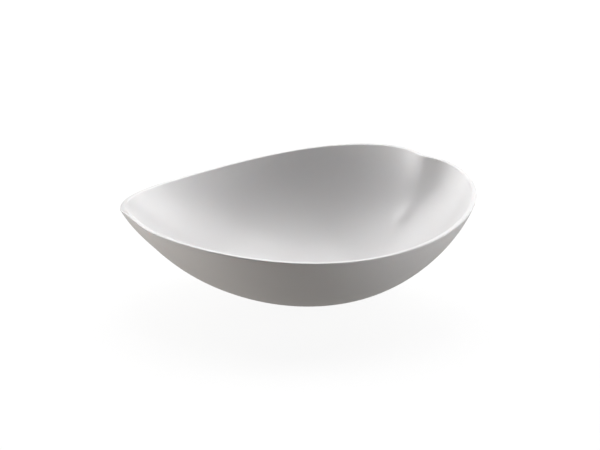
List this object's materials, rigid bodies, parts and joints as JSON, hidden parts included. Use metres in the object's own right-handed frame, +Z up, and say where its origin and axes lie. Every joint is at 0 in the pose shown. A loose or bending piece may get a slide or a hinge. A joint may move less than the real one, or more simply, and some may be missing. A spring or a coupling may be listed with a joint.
{
  "type": "evaporating dish",
  "caption": "Thin-walled white porcelain evaporating dish of soft, hand-formed shape, with a pouring tip at one end, a thumb dent at the other and a flat resting face below.",
  "frame": {"origin": "centre of the flat resting face", "axes": "+Z up out of the bowl; -X towards the pouring tip; +X towards the thumb dent"},
  "size_m": [0.1409, 0.143, 0.0491],
  "materials": {
    "porcelain": "gloss"
  },
  "bodies": {
    "root": {"dish_body": "porcelain"}
  },
  "joints": []
}
